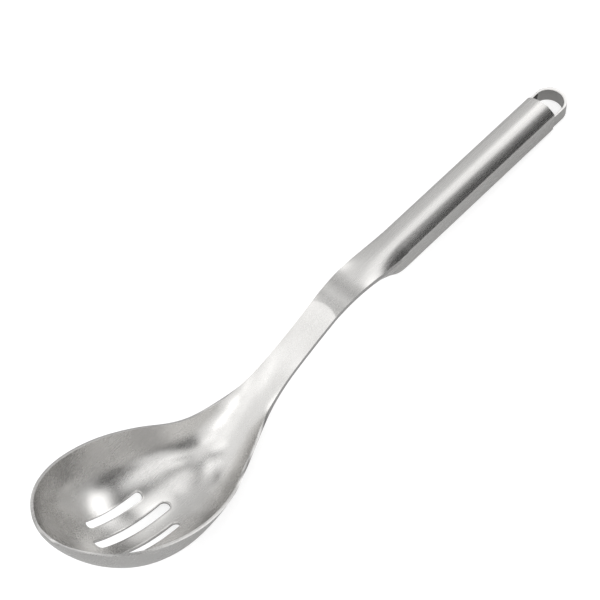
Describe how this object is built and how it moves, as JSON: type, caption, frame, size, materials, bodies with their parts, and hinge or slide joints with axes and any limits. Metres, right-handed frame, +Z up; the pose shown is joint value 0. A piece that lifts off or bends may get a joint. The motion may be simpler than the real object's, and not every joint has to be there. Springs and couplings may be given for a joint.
{
  "type": "slotted serving spoon",
  "caption": "Steel serving spoon with a deep pointed oval bowl, long drain slots, a bent flat neck, a straight domed hollow handle and a hanging loop.",
  "frame": {"origin": "middle of the length and width, on the table that the spoon lies on", "axes": "+X from the bowl's tip to the hanging loop, +Z up from the table into the open bowl, +Y to the left of the handle"},
  "size_m": [0.3448, 0.0672, 0.0758],
  "materials": {
    "blade_steel": "satin, brushed lengthwise",
    "handle_steel": "satin, brushed lengthwise",
    "loop_steel": "satin"
  },
  "bodies": {
    "root": {"bowl_and_neck": "blade_steel", "handle_top_shell": "handle_steel", "handle_bottom_shell": "handle_steel", "hanging_loop": "loop_steel", "handle_end_plate": "loop_steel"}
  },
  "joints": []
}
